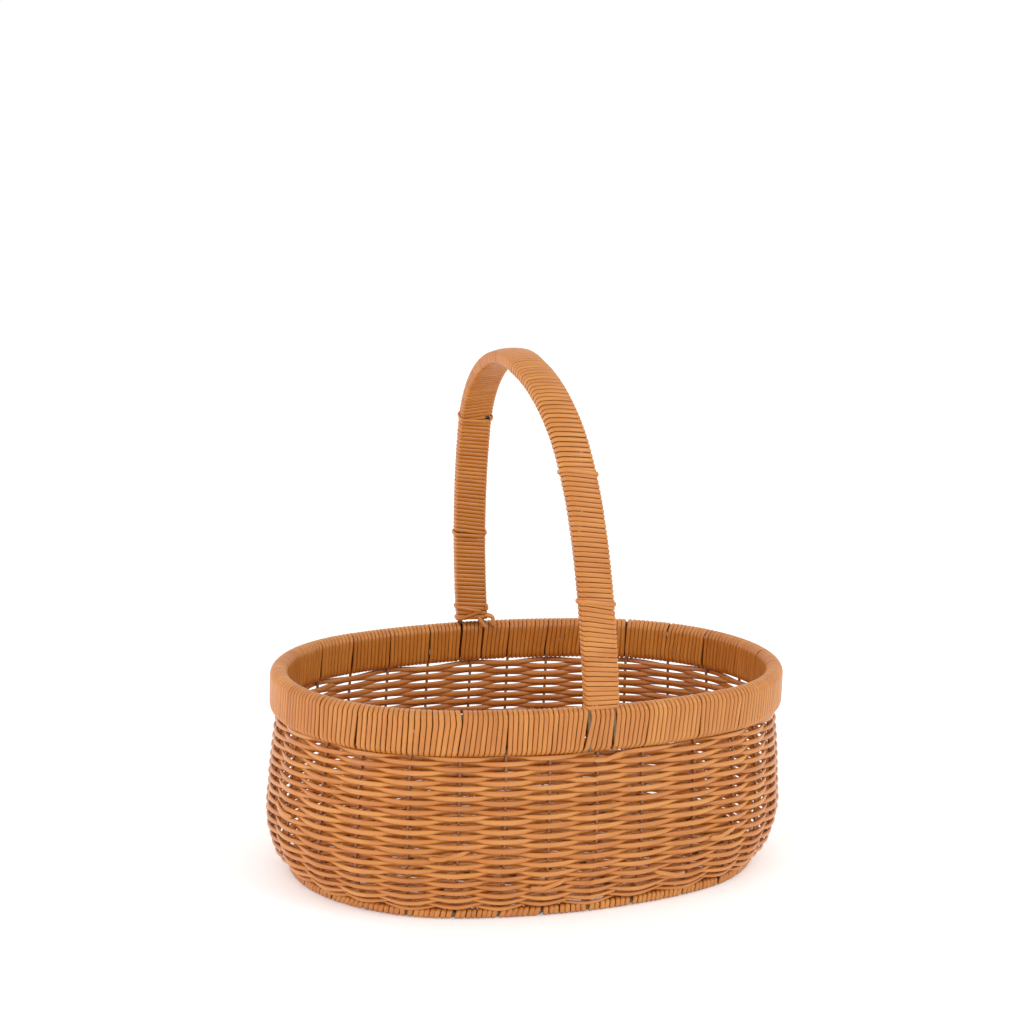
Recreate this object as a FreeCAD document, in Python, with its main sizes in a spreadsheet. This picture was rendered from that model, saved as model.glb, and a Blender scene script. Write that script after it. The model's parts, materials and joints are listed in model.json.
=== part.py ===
import FreeCAD, Part
import math
import os
from FreeCAD import Vector

# Egg collection basket: an oval basket woven from synthetic rattan strand on a
# steel wire frame, with one fixed bow handle across its short axis.
# X is the long axis, Y the short axis, Z up. The origin is at the middle of
# the base, on the surface that the basket stands on. Millimetres.

os.makedirs("parts", exist_ok=True)
doc = FreeCAD.newDocument("egg_basket")

# ----------------------------------------------------------------- dimensions
sheet = doc.addObject("Spreadsheet::Sheet", "dimensions")
DIMENSIONS = [
    # plan of the rim, outer surface
    ("rim_length", 350.0), ("rim_width", 240.0), ("rim_end_radius", 110.0),
    # rim band
    ("rim_top", 135.5), ("rim_bottom", 107.0), ("rim_depth", 11.0),
    ("rim_wrap_wall", 1.8), ("rim_corner", 4.6), ("rim_gap", 2.6),
    ("hoop_dia", 3.6), ("hoop_inset", 3.7),
    # base ring
    ("base_hoop_dia", 3.2), ("base_inset", 12.2), ("base_wrap_wall", 1.3),
    ("base_corner", 1.7), ("base_gap", 2.4),
    # upright stakes
    ("stake_count", 30.0), ("stake_dia", 2.0), ("stake_foot_height", 2.2),
    ("stake_foot_inset", 15.3), ("knee_height", 15.0), ("knee_inset", 8.0),
    ("belly_height", 38.0), ("belly_inset", 2.7),
    ("shoulder_height", 82.0), ("shoulder_inset", 4.5),
    ("neck_height", 111.0), ("stake_top_inset", 6.8), ("stake_top_height", 131.0),
    # woven rows of the wall
    ("row_count", 34.0), ("last_row_height", 104.8), ("row_pitch", 3.07),
    ("tight_rows", 8.0), ("tight_pitch", 2.2), ("row_air", 0.2),
    ("strand_width", 2.7), ("strand_thick", 2.2), ("strand_clearance", 0.12),
    # bow handle
    ("bow_dia", 3.6), ("bow_spacing", 16.9), ("bow_foot_inset", 7.4),
    ("bow_foot_height", 109.0), ("arch_start_height", 132.0),
    ("arch_side_radius", 409.0), ("arch_top_radius", 90.0),
    ("handle_width", 23.5), ("handle_thick", 8.0), ("handle_wrap_wall", 1.5),
    ("handle_lean", 4.9), ("lean_pivot_height", 121.0),
    ("foot_binding_bottom", 136.4), ("foot_binding_top", 146.0),
    ("foot_binding_extra", 1.2), ("foot_gap", 6.8),
    # floor
    ("rib_count", 11.0), ("rib_dia", 2.6), ("rib_pitch", 27.0), ("rib_height", 4.5),
    ("floor_row_count", 39.0), ("floor_row_pitch", 5.0),
    ("floor_strand_width", 3.7), ("floor_strand_thick", 1.9),
    ("floor_edge_inset", 16.2),
]
# place of each stake, as its distance in mm along the stake line from the
# middle of the front, anticlockwise from above; the spacing is hand-set
STAKE_PLACES = [
    0.0, 31.3, 71.0, 104.2, 128.5, 156.4, 185.6, 215.3, 245.0, 278.1,
    309.2, 340.6, 370.0, 399.5, 428.5, 456.6, 490.0, 522.0, 553.0, 583.0,
    613.5, 643.9, 674.4, 704.8, 736.6, 763.2, 794.6, 824.9, 853.4, 881.2]
# heights on the front and back legs where one handle strand ends and the next
# begins, and the place of the joint near the top of the bow (mm from its middle)
for number, place in enumerate(STAKE_PLACES):
    DIMENSIONS.append(("stake_place_%02d" % number, place))
DIMENSIONS += [("splice_front_low", 200.0), ("splice_front_high", 277.0),
               ("splice_back_low", 178.0), ("splice_back_high", 255.0),
               ("splice_top", -6.0), ("splice_gap", 0.5)]
for line, (alias, value) in enumerate(DIMENSIONS, start=1):
    sheet.set("A%d" % line, alias.replace("_", " "))
    sheet.set("B%d" % line, repr(value))
    sheet.setAlias("B%d" % line, alias)
doc.recompute()


class Sizes:
    """Every driving dimension, read back from the sheet."""
    def __getattr__(self, name):
        return float(sheet.get(name))


D = Sizes()
subparts = []


def keep(obj, name):
    obj.Label = name
    if name not in subparts:
        subparts.append(name)
    return obj


def feature(name, shape, base=Vector(0, 0, 0), rotation=FreeCAD.Rotation()):
    """A sub-part whose shape is made in code; placed after its shape is set."""
    obj = doc.addObject("Part::Feature", name)
    obj.Shape = shape
    obj.Placement = FreeCAD.Placement(base, rotation)
    return keep(obj, name)


# ------------------------------------------------------------- the plan oval
# Four tangent arcs. Every other oval of the basket is an inward offset of the
# rim's, so that all of them share their centres and normals.
A_RIM, B_RIM, R_END = D.rim_length / 2, D.rim_width / 2, D.rim_end_radius
R_SIDE = (B_RIM ** 2 + (A_RIM - R_END) ** 2 - R_END ** 2) / (2 * (B_RIM - R_END))
CX_END = A_RIM - R_END              # centre of the end arcs, on X
CY_SIDE = R_SIDE - B_RIM            # centre of the side arcs, on Y
PHI = math.atan2(CX_END, CY_SIDE)   # half angle of a side arc
REF_INSET = D.stake_top_inset       # stake places are measured on this oval
REF_SIDE, REF_END = R_SIDE - REF_INSET, R_END - REF_INSET
QUARTER = REF_SIDE * PHI + REF_END * (math.pi / 2 - PHI)
AROUND = 4 * QUARTER


def plan_arcs():
    """The four arcs in order from the middle of the front, as
    (start place, end place, centre, rim radius, start angle)."""
    half = REF_SIDE * PHI
    end = REF_END * (math.pi - 2 * PHI)
    return [
        (-half, half, (0.0, CY_SIDE), R_SIDE, -math.pi / 2 - PHI),
        (half, half + end, (CX_END, 0.0), R_END, -math.pi / 2 + PHI),
        (half + end, 3 * half + end, (0.0, -CY_SIDE), R_SIDE, math.pi / 2 - PHI),
        (3 * half + end, 3 * half + 2 * end, (-CX_END, 0.0), R_END, math.pi / 2 + PHI),
    ]


def arc_at(place):
    """Plan arc and direction angle of a place along the stake line."""
    arcs = plan_arcs()
    low = arcs[0][0]
    place = low + (place - low) % AROUND
    for start, stop, centre, radius, first in arcs:
        if place <= stop + 1e-9:
            return centre, radius, first + (place - start) / (radius - REF_INSET)
    raise ValueError("place off the oval")


def plan_point(place, inset):
    centre, radius, angle = arc_at(place)
    r = radius - inset
    return (centre[0] + r * math.cos(angle), centre[1] + r * math.sin(angle))


def plan_normal(place):
    angle = arc_at(place)[2]
    return (math.cos(angle), math.sin(angle))


def plan_tangent(place):
    angle = arc_at(place)[2]
    return (-math.sin(angle), math.cos(angle))


def oval_halfwidth(x, inset):
    """Half the width of the offset oval, across the basket at x."""
    r_side, r_end = R_SIDE - inset, R_END - inset
    x = abs(x)
    if x <= r_side * math.sin(PHI):
        return math.sqrt(r_side ** 2 - x ** 2) - CY_SIDE
    return math.sqrt(max(r_end ** 2 - (x - CX_END) ** 2, 0.0))


def oval_halflength(y, inset):
    """Half the length of the offset oval, along the basket at y."""
    r_side, r_end = R_SIDE - inset, R_END - inset
    y = abs(y)
    if y <= r_end * math.cos(PHI):
        return CX_END + math.sqrt(r_end ** 2 - y ** 2)
    return math.sqrt(max(r_side ** 2 - (y + CY_SIDE) ** 2, 0.0))


PLACES = [D.__getattr__("stake_place_%02d" % k) for k in range(int(D.stake_count))]


# ----------------------------------------------------------- chains of arcs
def biarc(p, u, q, v):
    """Two tangent arcs from p (direction u) to q (direction v), each as
    (start, end, centre or None, turn)."""
    dx, dy = q[0] - p[0], q[1] - p[1]
    tx, ty = u[0] + v[0], u[1] + v[1]
    vt, vv = dx * tx + dy * ty, dx * dx + dy * dy
    cosine = u[0] * v[0] + u[1] * v[1]
    if 1 - cosine < 1e-9:
        d = vv / (2 * vt)
    else:
        d = (-vt + math.sqrt(vt * vt + 2 * (1 - cosine) * vv)) / (2 * (1 - cosine))
    mid = ((p[0] + q[0] + d * (u[0] - v[0])) / 2, (p[1] + q[1] + d * (u[1] - v[1])) / 2)

    def arc(start, end, direction):
        n = (-direction[1], direction[0])
        ex, ey = end[0] - start[0], end[1] - start[1]
        side = n[0] * ex + n[1] * ey
        if abs(side) < 1e-7:
            return (start, end, None, 0.0), direction
        r = (ex * ex + ey * ey) / (2 * side)
        centre = (start[0] + n[0] * r, start[1] + n[1] * r)
        a0 = math.atan2(start[1] - centre[1], start[0] - centre[0])
        a1 = math.atan2(end[1] - centre[1], end[0] - centre[0])
        turn = a1 - a0
        if r > 0:
            while turn < 0:
                turn += 2 * math.pi
        else:
            while turn > 0:
                turn -= 2 * math.pi
        c, s = math.cos(turn), math.sin(turn)
        out = (direction[0] * c - direction[1] * s, direction[0] * s + direction[1] * c)
        return (start, end, centre, turn), out
    first, direction = arc(p, mid, u)
    second, _ = arc(mid, q, direction)
    return [first, second]


def chain_through(points, tangents, closed):
    pairs = list(zip(points, tangents))
    if closed:
        pairs.append(pairs[0])
    chain = []
    for (p, u), (q, v) in zip(pairs[:-1], pairs[1:]):
        chain += biarc(p, u, q, v)
    return chain


def sweep_chain(chain, start_direction, closed, place3d, axis, width, thick):
    """Solid strand along a planar chain of arcs. place3d maps a plane point to
    space and axis is the plane's normal. Its oval section has its width along
    axis and its thickness in the plane."""
    faces = []
    direction = start_direction
    first_edge = last_edge = None

    def section(point, direction):
        centre = place3d(point)
        side = place3d((point[0] - direction[1], point[1] + direction[0])) - centre
        if abs(width - thick) < 1e-9:
            return Part.Circle(centre, side.cross(axis), width / 2).toShape()
        ahead = axis.cross(side)
        if width > thick:
            oval = Part.Ellipse(centre + axis * (width / 2), centre + side * (thick / 2), centre)
        else:
            oval = Part.Ellipse(centre + side * (thick / 2), centre + axis * (width / 2), centre)
        return oval.toShape()

    handed = place3d((1.0, 0.0)).sub(place3d((0.0, 0.0))).cross(
        place3d((0.0, 1.0)).sub(place3d((0.0, 0.0)))).dot(axis)
    for start, end, centre, turn in chain:
        edge = section(start, direction)
        if first_edge is None:
            first_edge = edge
        if centre is None:
            faces.append(edge.extrude(place3d(end) - place3d(start)))
        else:
            faces.append(edge.revolve(place3d(centre), axis,
                                      math.degrees(turn) * (1 if handed > 0 else -1)))
            c, s = math.cos(turn), math.sin(turn)
            direction = (direction[0] * c - direction[1] * s, direction[0] * s + direction[1] * c)
        last_edge = (end, direction)
    if not closed:
        faces.append(Part.Face(Part.Wire(first_edge)))
        faces.append(Part.Face(Part.Wire(section(*last_edge))))
    shell = Part.makeShell([f for shape in faces for f in shape.Faces])
    shell.sewShape()
    shell = shell.Shells[0] if shell.Shells else shell
    solid = Part.Solid(shell)
    if solid.Volume < 0:
        solid.reverse()
    return solid


def rounded_path(points, radii):
    """A planar polyline with its corners rounded by tangent arcs, as a chain."""
    chain = []
    here = points[0]
    for i in range(1, len(points) - 1):
        p, c, q = points[i - 1], points[i], points[i + 1]
        ux, uy = c[0] - p[0], c[1] - p[1]
        vx, vy = q[0] - c[0], q[1] - c[1]
        lu, lv = math.hypot(ux, uy), math.hypot(vx, vy)
        ux, uy, vx, vy = ux / lu, uy / lu, vx / lv, vy / lv
        cross = ux * vy - uy * vx
        turn = math.atan2(cross, ux * vx + uy * vy)
        cut = abs(radii[i - 1] * math.tan(turn / 2))
        a = (c[0] - ux * cut, c[1] - uy * cut)
        b = (c[0] + vx * cut, c[1] + vy * cut)
        sign = 1.0 if turn > 0 else -1.0
        centre = (a[0] - uy * sign * radii[i - 1], a[1] + ux * sign * radii[i - 1])
        chain.append((here, a, None, 0.0))
        chain.append((a, b, centre, turn))
        here = b
    chain.append((here, points[-1], None, 0.0))
    return chain


# ------------------------------------------------ hoops, from bound primitives
sheet_name = "dimensions"


def hoop(name, inset_expr, height_expr, dia_expr):
    """A closed oval wire ring: four torus arcs, bound to the sheet and fused."""
    s = sheet_name + "."
    a, b, r = "%srim_length/2" % s, "%srim_width/2" % s, s + "rim_end_radius"
    side = "((({b})^2+({a}-{r})^2-{r}^2)/(2*({b}-{r})))".format(a=a, b=b, r=r)
    phi = "atan(({a}-{r})/({side}-{b}))".format(a=a, b=b, r=r, side=side)
    arcs = []
    for key, radius, x, y, start, sweep in (
            ("front", side, "0", "({side}-{b})".format(side=side, b=b), "(270deg-%s)" % phi, "2*%s" % phi),
            ("right", r, "({a}-{r})".format(a=a, r=r), "0", "(270deg+%s)" % phi, "(180deg-2*%s)" % phi),
            ("back", side, "0", "-({side}-{b})".format(side=side, b=b), "(90deg-%s)" % phi, "2*%s" % phi),
            ("left", r, "-({a}-{r})".format(a=a, r=r), "0", "(90deg+%s)" % phi, "(180deg-2*%s)" % phi)):
        arc = doc.addObject("Part::Torus", "%s_%s_arc" % (name, key))
        arc.setExpression("Radius1", "(%s-%s)*1mm" % (radius, inset_expr))
        arc.setExpression("Radius2", "(%s)/2*1mm" % dia_expr)
        arc.setExpression("Angle3", sweep)
        arc.Placement = FreeCAD.Placement(Vector(0, 0, 0), FreeCAD.Rotation(Vector(0, 0, 1), 1))
        arc.setExpression("Placement.Base.x", "(%s)*1mm" % x)
        arc.setExpression("Placement.Base.y", "(%s)*1mm" % y)
        arc.setExpression("Placement.Base.z", "(%s)*1mm" % height_expr)
        arc.setExpression("Placement.Rotation.Angle", start)
        arcs.append(arc)
    ring = doc.addObject("Part::MultiFuse", name)
    ring.Shapes = arcs
    return keep(ring, name)


S = sheet_name + "."
hoop("rim_top_hoop", S + "hoop_inset",
     "%srim_top-%srim_wrap_wall-%shoop_dia/2" % (S, S, S), S + "hoop_dia")
hoop("rim_lower_hoop", S + "hoop_inset",
     "%srim_bottom+%srim_wrap_wall+%shoop_dia/2" % (S, S, S), S + "hoop_dia")
hoop("base_hoop", S + "base_inset",
     "%sbase_wrap_wall+%sbase_hoop_dia/2" % (S, S), S + "base_hoop_dia")

# --------------------------------------------------------------- side stakes
# Each stake stands in its own plane across the wall: (inset, height) pairs.
STAKE_LINE = [(-D.stake_foot_inset, D.stake_foot_height), (-D.knee_inset, D.knee_height),
              (-D.belly_inset, D.belly_height), (-D.shoulder_inset, D.shoulder_height),
              (-D.stake_top_inset, D.neck_height), (-D.stake_top_inset, D.stake_top_height)]
STAKE_BENDS = [22.0, 45.0, 130.0, 90.0]
stake_chain = rounded_path(STAKE_LINE, STAKE_BENDS)


def stake_samples():
    out = []
    for start, end, centre, turn in stake_chain:
        if centre is None:
            out += [(start, end)]
        else:
            r = math.hypot(start[0] - centre[0], start[1] - centre[1])
            a0 = math.atan2(start[1] - centre[1], start[0] - centre[0])
            steps = 24
            pts = [(centre[0] + r * math.cos(a0 + turn * i / steps),
                    centre[1] + r * math.sin(a0 + turn * i / steps)) for i in range(steps + 1)]
            out += list(zip(pts[:-1], pts[1:]))
    return out


STAKE_SAMPLES = stake_samples()


def stake_at(height):
    """Inset of the stake line at a height, and its slope (inset per height)."""
    for (x0, z0), (x1, z1) in STAKE_SAMPLES:
        if z0 - 1e-9 <= height <= z1 + 1e-9:
            f = (height - z0) / (z1 - z0)
            return -(x0 + (x1 - x0) * f), -(x1 - x0) / (z1 - z0)
    raise ValueError("height off the stake")


def stake(place):
    c, s = plan_normal(place)
    rx, ry = plan_point(place, 0.0)
    start = (STAKE_LINE[1][0] - STAKE_LINE[0][0], STAKE_LINE[1][1] - STAKE_LINE[0][1])
    length = math.hypot(*start)
    start = (start[0] / length, start[1] / length)
    return sweep_chain(stake_chain, start, False,
                       lambda p: Vector(rx + c * p[0], ry + s * p[0], p[1]),
                       Vector(s, -c, 0), D.stake_dia, D.stake_dia)


def side_of(place):
    """front, right, back or left quarter of the basket."""
    x, y = plan_point(place, 0.0)
    if abs(x) > 118.0:
        return "right" if x > 0 else "left"
    return "front" if y < 0 else "back"


groups = {"front": [], "right": [], "back": [], "left": []}
for place in PLACES:
    groups[side_of(place)].append(stake(place))
for side, solids in groups.items():
    feature("side_stakes_" + side, Part.makeCompound(solids))

# ------------------------------------------------------ woven rows of the wall
ROWS = int(D.row_count)
TIGHT = int(D.tight_rows)
# the lowest rows are beaten down closer than the rest
STEPS = [D.tight_pitch + (D.row_pitch - D.tight_pitch) * j / TIGHT if j < TIGHT else D.row_pitch
         for j in range(ROWS - 1)]
ROW_HEIGHTS = [D.last_row_height - sum(STEPS[i:]) for i in range(ROWS)]


def woven_row(number):
    """One closed strand in and out of the stakes."""
    height = ROW_HEIGHTS[number]
    room = min(STEPS[max(number - 1, 0)], STEPS[min(number, ROWS - 2)])
    width = min(D.strand_width, room - D.row_air)
    inset, slope = stake_at(height)
    lean = math.atan(slope)
    reach = math.hypot(D.strand_thick / 2 * math.cos(lean), width / 2 * math.sin(lean))
    swing = (D.stake_dia / 2 + D.strand_clearance + reach) / math.cos(lean)
    points, tangents = [], []
    for k, place in enumerate(PLACES):
        out = swing if (k + number) % 2 == 0 else -swing
        points.append(plan_point(place, inset - out))
        tangents.append(plan_tangent(place))
    chain = chain_through(points, tangents, True)
    return sweep_chain(chain, tangents[0], True, lambda p: Vector(p[0], p[1], height),
                       Vector(0, 0, 1), width, D.strand_thick)


for pair in range(ROWS // 2):
    feature("wall_weave_%02d" % (pair + 1),
            Part.makeCompound([woven_row(2 * pair), woven_row(2 * pair + 1)]))


# ------------------------------------------------------- rim and base wrapping
def rounded_section(width, height, corner, x0, z0, flat_bottom=False):
    """Closed wire of a rounded rectangle in the XZ plane, from (x0, z0)."""
    x1, z1, r = x0 + width, z0 + height, corner
    k = r * math.sqrt(0.5)
    V = lambda x, z: Vector(x, 0, z)
    edges = []

    def line(p, q):
        if (q - p).Length > 1e-6:
            edges.append(Part.LineSegment(p, q).toShape())

    def arc(p, m, q):
        edges.append(Part.Arc(p, m, q).toShape())
    line(V(x0 + r, z0), V(x1 - r, z0))
    arc(V(x1 - r, z0), V(x1 - r + k, z0 + r - k), V(x1, z0 + r))
    line(V(x1, z0 + r), V(x1, z1 - r))
    arc(V(x1, z1 - r), V(x1 - r + k, z1 - r + k), V(x1 - r, z1))
    line(V(x1 - r, z1), V(x0 + r, z1))
    arc(V(x0 + r, z1), V(x0 + r - k, z1 - r + k), V(x0, z1 - r))
    line(V(x0, z1 - r), V(x0, z0 + r))
    arc(V(x0, z0 + r), V(x0 + r - k, z0 + r - k), V(x0 + r, z0))
    return Part.Wire(edges)


def wrapped_length(outer, inner, start, stop):
    """Hollow wrapping from one place to another. The two section wires lie in
    the XZ plane, with X the outward distance from the rim's outer surface."""
    pieces = []
    for first, last, centre, radius, angle0 in plan_arcs():
        for turn_round in (0, 1):
            lo = max(start, first + turn_round * AROUND)
            hi = min(stop, last + turn_round * AROUND)
            if hi - lo < 1e-6:
                continue
            a0 = angle0 + (lo - first - turn_round * AROUND) / (radius - REF_INSET)
            sweep = (hi - lo) / (radius - REF_INSET)
            face = Part.Face(outer).cut(Part.Face(inner)).Faces[0]
            face.translate(Vector(radius, 0, 0))
            solid = face.revolve(Vector(0, 0, 0), Vector(0, 0, 1), math.degrees(sweep))
            solid.rotate(Vector(0, 0, 0), Vector(0, 0, 1), math.degrees(a0))
            solid.translate(Vector(centre[0], centre[1], 0))
            pieces.append(solid)
    whole = pieces[0]
    for piece in pieces[1:]:
        whole = whole.fuse(piece).removeSplitter()
    return whole.Solids[0]


rim_height = D.rim_top - D.rim_bottom
rim_outer = rounded_section(D.rim_depth, rim_height, D.rim_corner, -D.rim_depth, D.rim_bottom)
rim_inner = rounded_section(D.rim_depth - 2 * D.rim_wrap_wall, rim_height - 2 * D.rim_wrap_wall,
                            D.rim_corner - D.rim_wrap_wall,
                            -D.rim_depth + D.rim_wrap_wall, D.rim_bottom + D.rim_wrap_wall)

# the wrapping parts at every stake, and at the two wires of each handle foot
half_round = AROUND / 2
gaps = []
for k, place in enumerate(PLACES):
    if k in (0, 15):
        continue
    gaps.append((place - D.rim_gap / 2, place + D.rim_gap / 2))
for middle in (0.0, half_round):
    for side in (-1, 1):
        centre = middle + side * D.bow_spacing / 2
        gaps.append((centre - D.foot_gap / 2, centre + D.foot_gap / 2))
gaps = sorted((g if g[0] >= -D.foot_gap * 2 else (g[0] + AROUND, g[1] + AROUND)) for g in gaps)
groups = {"front": [], "right": [], "back": [], "left": []}
for (a0, a1), (b0, b1) in zip(gaps, gaps[1:] + [(gaps[0][0] + AROUND, gaps[0][1] + AROUND)]):
    middle = (a1 + b0) / 2
    groups[side_of(middle)].append(wrapped_length(rim_outer, rim_inner, a1, b0))
for side, solids in groups.items():
    feature("rim_wrap_" + side, Part.makeCompound(solids))

# base ring wrapping, flat underneath so that the basket stands on it
base_size = D.base_hoop_dia + 2 * D.base_wrap_wall
base_outer = rounded_section(base_size, base_size, D.base_corner, -D.base_inset - base_size / 2, 0.0)
base_inner = Part.Wire(Part.Circle(
    Vector(-D.base_inset, 0, base_size / 2), Vector(0, 1, 0), D.base_hoop_dia / 2 + 0.05).toShape())
groups = {"front": [], "right": [], "back": [], "left": []}
for k, place in enumerate(PLACES):
    following = PLACES[(k + 1) % len(PLACES)] + (AROUND if k + 1 == len(PLACES) else 0.0)
    a, b = place + D.base_gap / 2, following - D.base_gap / 2
    groups[side_of((a + b) / 2)].append(wrapped_length(base_outer, base_inner, a, b))
for side, solids in groups.items():
    feature("base_wrap_" + side, Part.makeCompound(solids))

# ------------------------------------------------------------------ bow handle
# The bow lies in a plane across the basket. In that plane u runs front to back
# and height is Z: a straight foot, a long side arc and a tight top arc.
FOOT_Y = B_RIM - D.bow_foot_inset
RS, RT, Z0 = D.arch_side_radius, D.arch_top_radius, D.arch_start_height
rise = math.sqrt((RS - RT) ** 2 - (RS - FOOT_Y) ** 2)     # height of the top arc's centre
ALPHA = math.atan2(rise, RS - FOOT_Y)                      # turn of each side arc


def arch_point(length):
    """Point and direction of the bow's middle line, length mm from the top,
    towards the back if positive."""
    sign = 1.0 if length >= 0 else -1.0
    s = abs(length)
    top_len = RT * (math.pi / 2 - ALPHA)
    side_len = RS * ALPHA
    if s <= top_len:
        a = s / RT
        p = (RT * math.sin(a), Z0 + rise + RT * math.cos(a))
        d = (math.cos(a), -math.sin(a))
    elif s <= top_len + side_len:
        a = ALPHA - (s - top_len) / RS
        p = (FOOT_Y - RS + RS * math.cos(a), Z0 + RS * math.sin(a))
        d = (math.sin(a), -math.cos(a))
    else:
        p = (FOOT_Y, Z0 - (s - top_len - side_len))
        d = (0.0, -1.0)
    return (sign * p[0], p[1]), (d[0], sign * d[1])


def arch_length_at(height):
    """Distance from the top of the bow down to a height on a leg."""
    top_len = RT * (math.pi / 2 - ALPHA)
    side_len = RS * ALPHA
    if height <= Z0:
        return top_len + side_len + Z0 - height
    if height <= Z0 + RS * math.sin(ALPHA):
        return top_len + RS * (ALPHA - math.asin((height - Z0) / RS))
    return RT * math.acos((height - Z0 - rise) / RT)


def arch_chain(start, stop):
    """Chain of arcs along the bow between two lengths from the top."""
    top_len = RT * (math.pi / 2 - ALPHA)
    side_len = RS * ALPHA
    breaks = [-(top_len + side_len), -top_len, top_len, top_len + side_len]
    cuts = [start] + [b for b in breaks if start + 1e-6 < b < stop - 1e-6] + [stop]
    chain = []
    for a, b in zip(cuts[:-1], cuts[1:]):
        p, _ = arch_point(a)
        q, _ = arch_point(b)
        middle = (a + b) / 2
        if abs(middle) > top_len + side_len:
            chain.append((p, q, None, 0.0))
        elif abs(middle) > top_len:
            centre = (-math.copysign(RS - FOOT_Y, middle), Z0)
            chain.append((p, q, centre, -(b - a) / RS))
        else:
            chain.append((p, q, (0.0, Z0 + rise), -(b - a) / RT))
    return chain


LEAN = FreeCAD.Rotation(Vector(0, 1, 0), -D.handle_lean)
PIVOT = Vector(0, 0, D.lean_pivot_height)


def leaned(name, shape):
    """A handle piece, tilted lengthwise about the middle of the rim."""
    return feature(name, shape, PIVOT - LEAN.multVec(PIVOT), LEAN)


foot_length = arch_length_at(D.bow_foot_height)


def bow(x):
    chain = arch_chain(-foot_length, foot_length)
    return sweep_chain(chain, (0.0, 1.0), False, lambda p: Vector(x, p[0], p[1]),
                       Vector(1, 0, 0), D.bow_dia, D.bow_dia)


leaned("handle_bow_left", bow(-D.bow_spacing / 2))
leaned("handle_bow_right", bow(D.bow_spacing / 2))


def flat_section(width, thick, length):
    """Stadium-shaped wire across the bow at a length from its top."""
    (y, z), (dy, dz) = arch_point(length)
    origin = Vector(0, y, z)
    side, out = Vector(1, 0, 0), Vector(0, -dz, dy)
    r, w = thick / 2, width / 2 - thick / 2
    P = lambda a, b: origin + side * a + out * b
    return Part.Wire([
        Part.LineSegment(P(-w, -r), P(w, -r)).toShape(),
        Part.Arc(P(w, -r), P(w + r, 0), P(w, r)).toShape(),
        Part.LineSegment(P(w, r), P(-w, r)).toShape(),
        Part.Arc(P(-w, r), P(-w - r, 0), P(-w, -r)).toShape()])


def hollow_face(width, thick, wall, length):
    outer = Part.Face(flat_section(width, thick, length))
    return outer.cut(Part.Face(flat_section(width - 2 * wall, thick - 2 * wall, length))).Faces[0]


def handle_sleeve(start, stop, width, thick, wall):
    """Hollow flat wrapping round both bow wires, between two lengths."""
    pieces = []
    for p, q, centre, turn in arch_chain(start, stop):
        # the section stands at this arc's own start
        face = None
        for a in (start, -RT * (math.pi / 2 - ALPHA), RT * (math.pi / 2 - ALPHA),
                  -(RT * (math.pi / 2 - ALPHA) + RS * ALPHA)):
            here, _ = arch_point(a)
            if math.hypot(here[0] - p[0], here[1] - p[1]) < 1e-6:
                face = hollow_face(width, thick, wall, a)
                break
        if face is None:
            top = RT * (math.pi / 2 - ALPHA) + RS * ALPHA
            face = hollow_face(width, thick, wall, top)
        if centre is None:
            pieces.append(face.extrude(Vector(0, q[0] - p[0], q[1] - p[1])))
        else:
            pieces.append(face.revolve(Vector(0, centre[0], centre[1]), Vector(1, 0, 0),
                                       math.degrees(turn)))
    whole = pieces[0]
    for piece in pieces[1:]:
        whole = whole.fuse(piece)
    return whole.removeSplitter().Solids[0]


low, high = D.foot_binding_bottom, D.foot_binding_top
half = D.splice_gap / 2
stations = [-arch_length_at(high), -arch_length_at(D.splice_front_low),
            -arch_length_at(D.splice_front_high), D.splice_top,
            arch_length_at(D.splice_back_high), arch_length_at(D.splice_back_low),
            arch_length_at(high)]
for number in range(6):
    leaned("handle_wrap_%d" % (number + 1),
           handle_sleeve(stations[number] + half, stations[number + 1] - half,
                         D.handle_width, D.handle_thick, D.handle_wrap_wall))
extra = D.foot_binding_extra
for name, a, b in (("front", -arch_length_at(low), -arch_length_at(high)),
                   ("back", arch_length_at(high), arch_length_at(low))):
    leaned("foot_binding_" + name,
           handle_sleeve(a + half, b - half, D.handle_width + extra,
                         D.handle_thick + extra, D.handle_wrap_wall + extra / 2))

# ----------------------------------------------------------------------- floor
# straight wires across the floor, bound cylinders, ending at the base ring
ribs = []
RIBS = int(D.rib_count)
for j in range(RIBS):
    step = j - (RIBS - 1) // 2
    rib = doc.addObject("Part::Cylinder", "rib_%02d" % (j + 1))
    x = step * D.rib_pitch
    halfwidth = oval_halfwidth(x, D.floor_edge_inset - 1.0)
    rib.setExpression("Radius", S + "rib_dia/2*1mm")
    rib.Height = 2 * halfwidth
    rib.Placement = FreeCAD.Placement(Vector(0, -halfwidth, 0), FreeCAD.Rotation(Vector(1, 0, 0), -90))
    rib.setExpression("Placement.Base.x", "%d*%srib_pitch*1mm" % (step, S))
    rib.setExpression("Placement.Base.z", S + "rib_height*1mm")
    ribs.append(rib)
rib_group = doc.addObject("Part::Compound", "floor_cross_ribs")
rib_group.Links = ribs
keep(rib_group, "floor_cross_ribs")

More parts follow.
